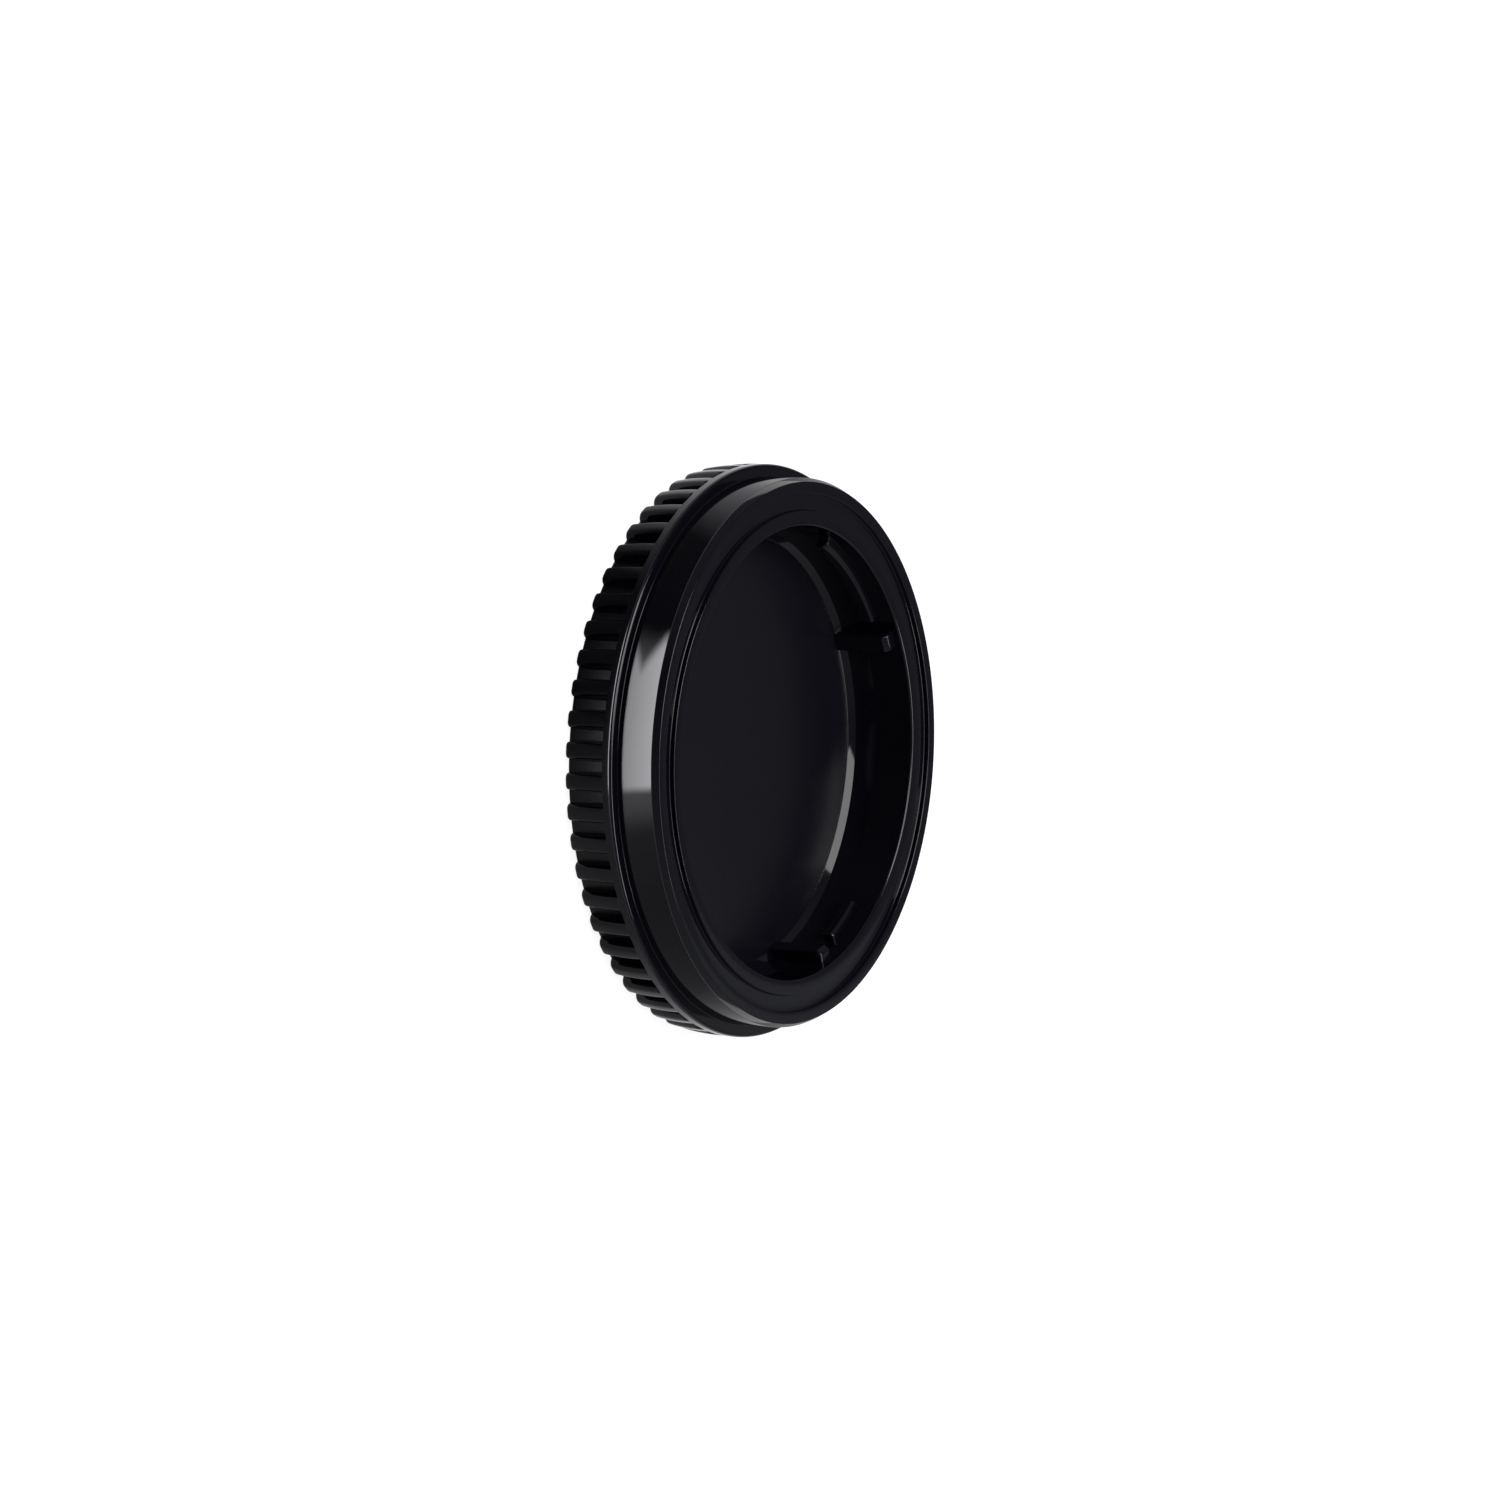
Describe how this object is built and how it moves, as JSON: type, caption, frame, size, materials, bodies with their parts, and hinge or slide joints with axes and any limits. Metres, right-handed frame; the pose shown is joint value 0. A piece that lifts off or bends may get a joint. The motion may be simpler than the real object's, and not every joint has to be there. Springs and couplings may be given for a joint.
{
  "type": "rear lens cap",
  "caption": "Round one-piece rear lens cap with a ribbed grip rim, a polished collar with an annular groove in its front face, and a shallow cavity with bayonet tabs on its wall.",
  "frame": {"origin": "middle of the back's underside, on the plane that the cap lies on", "axes": "+Z along the cap's axis, out of the cavity's mouth; X and Y across it, with the pictured view taken from the -Y side"},
  "size_m": [0.0602, 0.0602, 0.0109],
  "materials": {
    "black_plastic": "black injection moulding, polished on the collar and the front rings, satin on the cavity floor"
  },
  "bodies": {
    "root": {"lens_cap_body": "black_plastic"}
  },
  "joints": []
}
